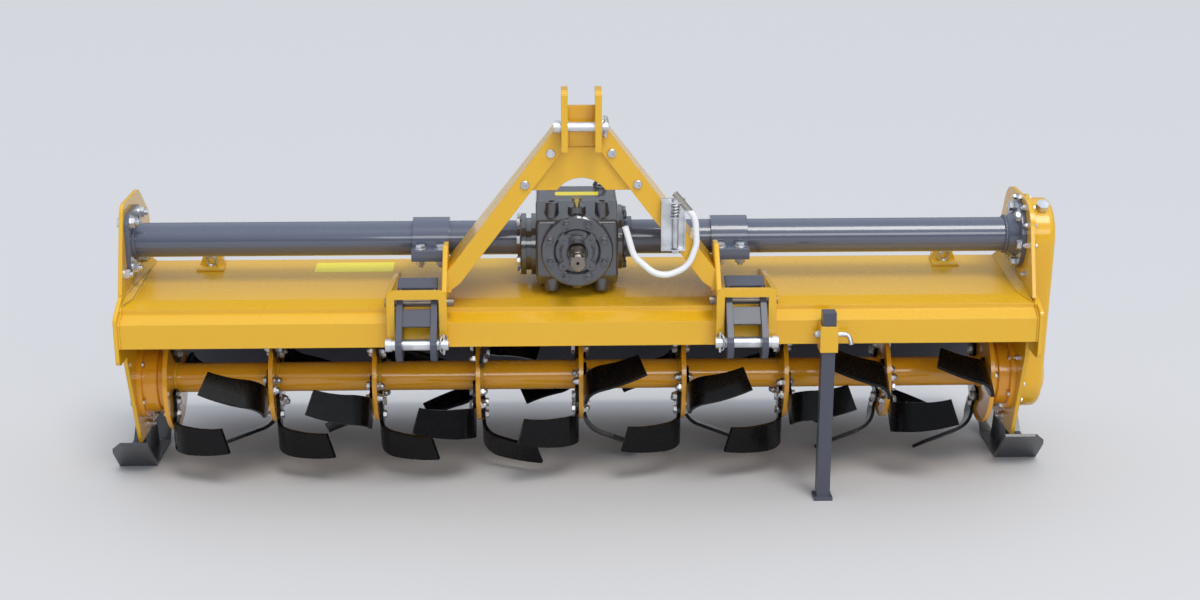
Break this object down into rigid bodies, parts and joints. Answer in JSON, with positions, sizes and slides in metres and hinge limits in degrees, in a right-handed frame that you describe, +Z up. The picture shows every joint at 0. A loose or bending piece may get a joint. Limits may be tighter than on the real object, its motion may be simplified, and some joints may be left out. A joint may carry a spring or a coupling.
{
  "type": "rotary tiller",
  "caption": "Rotary tiller for a tractor's three-point linkage, with a tined rotor under a deck, a central gearbox, a mast, skids and a parking stand.",
  "frame": {"origin": "on the ground under the middle of the machine", "axes": "+X along the rotor, to the right as seen from the tractor's side; +Y backwards, away from the tractor; +Z up"},
  "size_m": [2.49, 0.749, 1.069],
  "materials": {
    "yellow_paint": "glossy yellow paint",
    "grey_paint": "glossy blue-grey paint",
    "tine_steel": "black paint on forged steel",
    "zinc": "bright zinc plating",
    "bright_steel": "machined steel, greased",
    "brass": "plain brass",
    "white_coat": "white plastic coating on a steel rod"
  },
  "bodies": {
    "frame": {"deck": "yellow_paint", "deck_end_left": "yellow_paint", "deck_end_right": "yellow_paint", "side_plate_left": "yellow_paint", "side_plate_right": "yellow_paint", "side_gearcase": "yellow_paint", "mast_leg_left": "yellow_paint", "mast_leg_right": "yellow_paint", "mast_head": "yellow_paint", "mast_gusset": "yellow_paint", "hitch_bracket_left": "yellow_paint", "hitch_bracket_right": "yellow_paint", "chain_lugs": "yellow_paint", "board_hinge": "yellow_paint", "stand_socket": "yellow_paint", "cross_tube_left": "grey_paint", "cross_tube_right": "grey_paint", "tube_clamp_left": "grey_paint", "tube_clamp_right": "grey_paint", "gearbox_housing": "grey_paint", "gearbox_side_cover": "grey_paint", "gearbox_front_cover": "grey_paint", "hub_left": "grey_paint", "hub_right": "grey_paint", "skid_left": "grey_paint", "skid_right": "grey_paint", "top_pin": "zinc", "link_pivot_left": "zinc", "link_pivot_right": "zinc", "stand_pin": "zinc", "rest_plate": "zinc", "tail_chain_left": "zinc", "tail_chain_right": "zinc", "filler_cap": "zinc", "breather_plug": "brass", "rest_rod": "white_coat"},
    "rotor": {"rotor_tube": "yellow_paint", "rotor_flange_1": "tine_steel", "rotor_flange_2": "tine_steel", "rotor_flange_3": "tine_steel", "rotor_flange_4": "tine_steel", "rotor_flange_5": "tine_steel", "rotor_flange_6": "tine_steel", "rotor_flange_7": "tine_steel", "rotor_flange_8": "tine_steel", "rotor_flange_9": "tine_steel"},
    "input_shaft": {"pto_shaft": "bright_steel"},
    "link_left": {"lower_link_left": "grey_paint", "lower_pin_left": "zinc"},
    "link_right": {"lower_link_right": "grey_paint", "lower_pin_right": "zinc"},
    "stand": {"stand_leg": "grey_paint"},
    "board": {"tail_board": "grey_paint"}
  },
  "joints": [
    {"name": "rotor_spin", "type": "hinge", "parent": "frame", "child": "rotor", "pos_m": [0, -0.03, 0.25], "axis": [1, 0, 0], "continuous": true},
    {"name": "input_spin", "type": "hinge", "parent": "frame", "child": "input_shaft", "pos_m": [-0.01, -0.205, 0.636], "axis": [0, 1, 0], "continuous": true},
    {"name": "link_left_swing", "type": "hinge", "parent": "frame", "child": "link_left", "pos_m": [-0.411, -0.276, 0.53], "axis": [1, 0, 0], "range_deg": [-15, 0]},
    {"name": "link_right_swing", "type": "hinge", "parent": "frame", "child": "link_right", "pos_m": [0.411, -0.276, 0.53], "axis": [1, 0, 0], "range_deg": [-15, 0]},
    {"name": "stand_slide", "type": "slide", "parent": "frame", "child": "stand", "axis": [0, 0, 1], "range_m": [0, 0.34]},
    {"name": "board_swing", "type": "hinge", "parent": "frame", "child": "board", "pos_m": [0, 0.134, 0.508], "axis": [1, 0, 0], "range_deg": [0, 55], "deforming": ["tail_chain_left", "tail_chain_right"]}
  ],
  "couplings": [
    {"joint": "input_spin", "follows": "rotor_spin", "ratio": 2.4}
  ]
}
